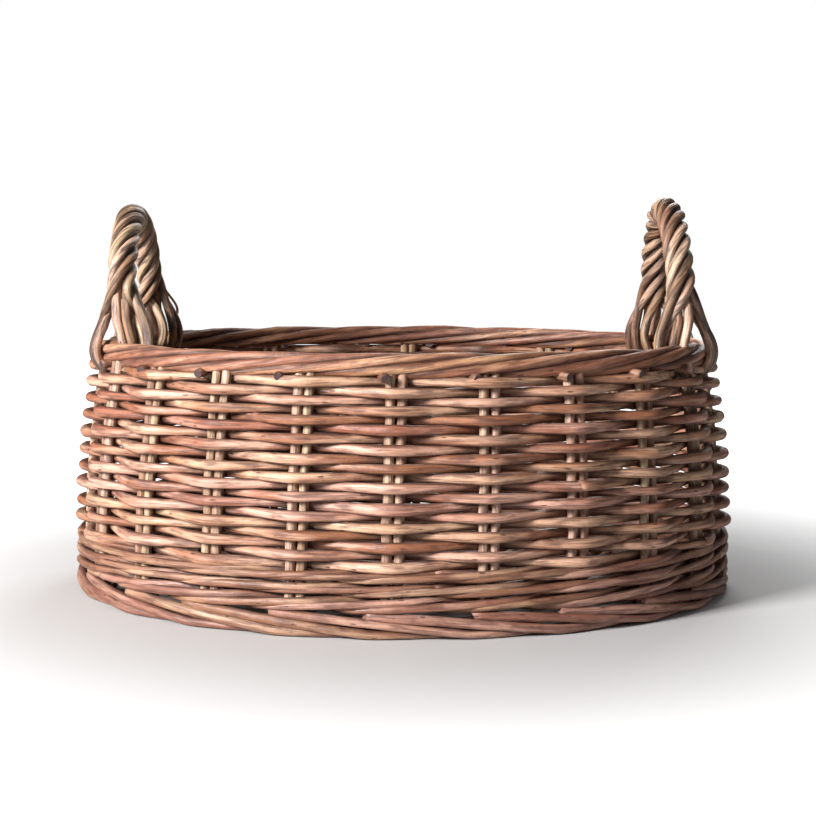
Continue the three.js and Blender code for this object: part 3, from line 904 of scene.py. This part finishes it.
def blend_colour(tree, amount, first, second, kind="MIX"):
    settings = {"data_type": "RGBA", "blend_type": kind, "clamp_factor": True}
    return add_node(tree, "Mix", settings, i0=amount, i6=first, i7=second).outputs[2]


def rod_noise(tree, place, along, around, detail=2.0):
    """Noise in rod space: `along` and `around` are how many blotches to a metre each way."""
    stretched = add_node(tree, "VectorMath", {"operation": "MULTIPLY"}, i0=place,
                         i1=(along, around, around))
    noise = add_node(tree, "TexNoise", None, Vector=stretched.outputs[0], Scale=1.0, Detail=detail)
    return noise.outputs[0]


print("helpers ready")

# %% Willow skin group
COLOUR, FLOAT, VECTOR = "NodeSocketColor", "NodeSocketFloat", "NodeSocketVector"
PINKER = (1.0, 0.92, 0.97, 1)
YELLOWER = (1.0, 1.04, 0.90, 1)
TONE_RANGE = 1.1  # how far a rod's tone moves it between its pale and its warm colour
TONE_START = -0.45
TINT_STEPS = 7.3  # spreads the tones over the two tints, so that tint and warmth don't agree

skin, skin_in, skin_out = new_group(
    "willow skin",
    {"Place": VECTOR, "Tone": FLOAT, "Pale": COLOUR, "Warm": COLOUR, "Dark": COLOUR,
     "Blotches": FLOAT, "Fibres": FLOAT, "Scars": FLOAT},
    {"Colour": COLOUR, "Roughness": FLOAT, "Height": FLOAT})
place = skin_in.outputs["Place"]
broad = rod_noise(skin, place, 13, 70, 2.0)
blotch = rod_noise(skin, place, 50, 240, 4.0)
streak = rod_noise(skin, place, 22, 420, 3.0)
fibre = rod_noise(skin, place, 60, 1100, 3.0)
crinkle = rod_noise(skin, place, 700, 160, 1.0)

shift = add_node(skin, "Math", {"operation": "MULTIPLY_ADD"}, i0=skin_in.outputs["Tone"],
                 i1=TONE_RANGE, i2=TONE_START).outputs[0]
warmth = math_node(skin, "ADD", spread(skin, broad, 0.38, 0.62), shift, clamp=True)
base = blend_colour(skin, warmth, skin_in.outputs["Pale"], skin_in.outputs["Warm"])
hue = math_node(skin, "MULTIPLY", skin_in.outputs["Tone"], TINT_STEPS)
hue = math_node(skin, "FRACT", hue)
tint = blend_colour(skin, hue, PINKER, YELLOWER)
base = blend_colour(skin, 1.0, base, tint, "MULTIPLY")
stained = spread(skin, blotch, 0.48, 0.66)
stained = math_node(skin, "MULTIPLY", stained, skin_in.outputs["Blotches"])
base = blend_colour(skin, stained, base, skin_in.outputs["Dark"])
lines = math_node(skin, "MULTIPLY", spread(skin, streak, 0.50, 0.64), skin_in.outputs["Fibres"])
base = blend_colour(skin, lines, base, skin_in.outputs["Dark"])
fine = math_node(skin, "MULTIPLY", spread(skin, fibre, 0.44, 0.62), 0.3)
base = blend_colour(skin, fine, base, skin_in.outputs["Dark"])

scar_place = add_node(skin, "VectorMath", {"operation": "MULTIPLY"}, i0=place, i1=(40, 150, 150))
cells = add_node(skin, "TexVoronoi", None, Vector=scar_place.outputs[0], Scale=1.0)
scar = spread(skin, cells.outputs["Distance"], 0.07, 0.13, 1.0, 0.0)
scar = math_node(skin, "MULTIPLY", scar, skin_in.outputs["Scars"])
base = blend_colour(skin, scar, base, skin_in.outputs["Dark"])

rough = spread(skin, streak, 0.35, 0.65, 0.42, 0.62)
height = math_node(skin, "ADD", math_node(skin, "MULTIPLY", fibre, 0.5), streak)
height = math_node(skin, "ADD", height, math_node(skin, "MULTIPLY", crinkle, 0.25))
height = math_node(skin, "SUBTRACT", height, math_node(skin, "MULTIPLY", scar, 0.5))
skin.links.new(base, skin_out.inputs["Colour"])
skin.links.new(rough, skin_out.inputs["Roughness"])
skin.links.new(height, skin_out.inputs["Height"])
print("willow skin has", len(skin.nodes), "nodes")

# %% Group for painted shade in the weave
stain, stain_and_shade_in, stain_and_shade_out = new_group(
    "weave stain",
    {"Colour": COLOUR, "Hollow": FLOAT, "Place": VECTOR, "Stain": COLOUR, "Amount": FLOAT},
    {"Colour": COLOUR})
patchy = rod_noise(stain, stain_and_shade_in.outputs["Place"], 60, 300, 2.0)
patchy = spread(stain, patchy, 0.3, 0.7, 0.55, 1.0)
# Painted shade, with some real dark wash: the deeper a point lies in the weave, the darker it is.
depth = spread(stain, stain_and_shade_in.outputs["Hollow"], 0.15, 0.9)
depth = math_node(stain, "MULTIPLY", depth, patchy)
depth = math_node(stain, "MULTIPLY", depth, stain_and_shade_in.outputs["Amount"])
mixed = blend_colour(stain, depth, stain_and_shade_in.outputs["Colour"], stain_and_shade_in.outputs["Stain"])
stain.links.new(mixed, stain_and_shade_out.inputs["Colour"])
print("weave stain has", len(stain.nodes), "nodes")

# %% Cut end group
cut, cut_in, cut_out = new_group(
    "cut end",
    {"Colour": COLOUR, "Place": VECTOR, "Cut": FLOAT, "Wood": COLOUR, "Edge": COLOUR},
    {"Colour": COLOUR})
across_rod = add_node(cut, "VectorMath", {"operation": "MULTIPLY"}, i0=cut_in.outputs["Place"],
                      i1=(0.0, 1.0, 1.0))
from_pith = add_node(cut, "VectorMath", {"operation": "LENGTH"}, i0=across_rod.outputs[0])
from_pith = from_pith.outputs["Value"]
grain = rod_noise(cut, cut_in.outputs["Place"], 0, 900, 2.0)
uneven = math_node(cut, "ADD", from_pith, math_node(cut, "MULTIPLY", grain, 0.0012))
edge = spread(cut, uneven, 0.0026, 0.0042)
wood = blend_colour(cut, edge, cut_in.outputs["Wood"], cut_in.outputs["Edge"])
pith = spread(cut, from_pith, 0.0004, 0.0009, 0.8, 0.0)
wood = blend_colour(cut, pith, wood, cut_in.outputs["Edge"])
shown = blend_colour(cut, cut_in.outputs["Cut"], cut_in.outputs["Colour"], wood)
cut.links.new(shown, cut_out.inputs["Colour"])
print("cut end has", len(cut.nodes), "nodes")

# %% [markdown]
# ## One material for each use of the willow
#
# The stakes have stayed pale and rather yellow. The weavers are pinker. The border is a warm
# tan from hands and weather, and the handles have gone grey-brown. One material for all would
# be simpler, but then nothing would tell these apart. The groups make the colour, roughness
# and height. The shader stays in the material, where its gloss and its bump are set.

# %% Willow materials
GLOSS = 0.65  # willow skin is a little waxy
BUMP_HEIGHT = 0.0012


def attribute(tree, name, output):
    return add_node(tree, "Attribute", {"attribute_name": name}).outputs[output]


def use_group(tree, group, **sockets):
    return add_node(tree, "Group", {"node_tree": group}, **sockets).outputs


def willow_material(name, look):
    """A willow material from its colours and the strengths of its marks."""
    material = bpy.data.materials.new(name)
    material.use_nodes = True
    tree = material.node_tree
    place = attribute(tree, "rod_space", "Vector")
    made = use_group(tree, skin, Place=place, Tone=attribute(tree, "tone", "Fac"),
                     Pale=(*look["pale"], 1), Warm=(*look["warm"], 1), Dark=(*look["dark"], 1),
                     Blotches=look["blotches"], Fibres=look["fibres"], Scars=look["scars"])
    # Darkened deep in the weave and along touching lines: painted shade, with some real dark wash.
    stained_and_shaded = use_group(tree, stain, Colour=made["Colour"], Hollow=attribute(tree, "hollow", "Fac"),
                      Place=place, Stain=(*look["stain"], 1), Amount=look["stain_and_shade_amount"])
    ended = use_group(tree, cut, Colour=stained_and_shaded["Colour"], Place=place,
                      Cut=attribute(tree, "cut_end", "Fac"), Wood=(*look["end_wood"], 1),
                      Edge=(*look["dark"], 1))
    shader = tree.nodes["Principled BSDF"]
    tree.links.new(ended["Colour"], shader.inputs["Base Color"])
    tree.links.new(made["Roughness"], shader.inputs["Roughness"])
    shader.inputs["Specular IOR Level"].default_value = GLOSS
    bump = add_node(tree, "Bump", None, Height=made["Height"], Strength=look["bump"],
                    Distance=BUMP_HEIGHT)
    tree.links.new(bump.outputs[0], shader.inputs["Normal"])
    return material


print("gloss", GLOSS)

# %% Colours of each use
# The second dark colour and its amount set the painted shade, with some real dark wash, in the
# weave.
WEAVER = {"pale": (0.72, 0.43, 0.31), "warm": (0.38, 0.150, 0.080), "dark": (0.095, 0.035, 0.025),
          "stain": (0.050, 0.020, 0.016), "end_wood": (0.26, 0.14, 0.09), "stain_and_shade_amount": 0.92,
          "blotches": 0.6, "fibres": 0.55, "scars": 0.85, "bump": 0.8}
looks = {
    "weavers": WEAVER,
    "stakes": WEAVER | {"pale": (0.66, 0.46, 0.33), "warm": (0.42, 0.24, 0.15), "scars": 0.3},
    "bands": WEAVER | {"pale": (0.56, 0.33, 0.235), "warm": (0.30, 0.13, 0.08)},
    "rim": WEAVER | {"pale": (0.73, 0.405, 0.25), "warm": (0.37, 0.150, 0.080),
                     "end_wood": (0.060, 0.030, 0.032)},
    "handles": WEAVER | {"pale": (0.76, 0.53, 0.37), "warm": (0.38, 0.205, 0.12),
                         "dark": (0.055, 0.028, 0.020), "stain": (0.022, 0.012, 0.010),
                         "blotches": 0.8, "fibres": 0.75, "stain_and_shade_amount": 1.0, "bump": 1.0},
    "base": WEAVER | {"pale": (0.52, 0.32, 0.23), "warm": (0.32, 0.15, 0.095)},
}
for use, look in looks.items():
    material = willow_material(f"{use}_willow", look)
    for piece in pieces[use]:
        piece.data.materials.append(material)
print(len(looks), "willow materials")

# %% [markdown]
# ## Light and floor
#
# The key lamp stands well round to the left. Its light rakes across the front, so every weaver
# is bright where it comes out past a stake and dark where it goes back in, and the weave reads
# well. It is an area lamp, because a sun would draw hard edges between the rods. A weak front
# lamp, a lamp behind the basket and a dim world soften the shadows. The world is white to the
# camera and dim to the basket: a Light Path node tells the two apart. The floor is a plain pale
# sheet. To the camera only, it glows more and more away from the basket until it matches the
# white world, so no horizon line shows.

# %% Lamps
def soft_lamp(name, place, size, power, colour):
    """A square area lamp aimed at the middle of the basket."""
    data = bpy.data.lights.new(name, "AREA")
    data.size = size
    data.energy = power
    data.color = colour
    lamp = bpy.data.objects.new(name, data)
    lamp.location = place
    lamp.rotation_mode = "QUATERNION"
    aim = Vector((0.0, 0.0, wall_top * 0.5)) - lamp.location
    lamp.rotation_quaternion = aim.to_track_quat("-Z", "Y")
    bpy.context.scene.collection.objects.link(lamp)


soft_lamp("key_lamp", (-2.25, -2.0, 1.3), 0.8, 200.0, (1.0, 0.98, 0.97))
soft_lamp("front_lamp", (-0.3, -2.6, 1.3), 1.6, 2.0, (1.0, 1.0, 1.0))
soft_lamp("back_lamp", (0.6, 2.2, 1.7), 1.4, 38.0, (1.0, 1.0, 1.0))
print(len(bpy.data.lights), "lamps")

# %% World
ROOM_LIGHT = 0.09  # strength of the world as a light

world = bpy.data.worlds.new("pale_room")
world.use_nodes = True
background = world.node_tree.nodes["Background"]
background.inputs["Color"].default_value = (1.0, 1.0, 1.0, 1.0)
seen = add_node(world.node_tree, "LightPath").outputs["Is Camera Ray"]
strength = spread(world.node_tree, seen, 0.0, 1.0, ROOM_LIGHT, 1.0)
world.node_tree.links.new(strength, background.inputs["Strength"])
bpy.context.scene.world = world
print("the world lights the basket at", ROOM_LIGHT, "of white")

# %% Floor
FLOOR_HALF = 6.0
GLOW_START, GLOW_FULL = 0.25, 0.80  # distances from the basket's middle
GLOW = 0.95

floor_mesh = bpy.data.meshes.new("floor")
signs = [(-1, -1), (1, -1), (1, 1), (-1, 1)]
corners = [(x * FLOOR_HALF, y * FLOOR_HALF, 0.0) for x, y in signs]
floor_mesh.from_pydata(corners, [], [(0, 1, 2, 3)])
floor = bpy.data.objects.new("floor", floor_mesh)
bpy.context.scene.collection.objects.link(floor)

paper = bpy.data.materials.new("pale_paper")
paper.use_nodes = True
shader = paper.node_tree.nodes["Principled BSDF"]
shader.inputs["Base Color"].default_value = (0.62, 0.62, 0.62, 1)
shader.inputs["Roughness"].default_value = 0.9
shader.inputs["Emission Color"].default_value = (1, 1, 1, 1)
where = add_node(paper.node_tree, "NewGeometry").outputs["Position"]
away = add_node(paper.node_tree, "VectorMath", {"operation": "LENGTH"}, i0=where).outputs["Value"]
glow = spread(paper.node_tree, away, GLOW_START, GLOW_FULL, 0.0, GLOW)
seen = add_node(paper.node_tree, "LightPath").outputs["Is Camera Ray"]
paper.node_tree.links.new(math_node(paper.node_tree, "MULTIPLY", glow, seen),
                          shader.inputs["Emission Strength"])
floor_mesh.materials.append(paper)
bpy.context.scene.view_settings.view_transform = "Standard"
print("floor", 2 * FLOOR_HALF, "m square")
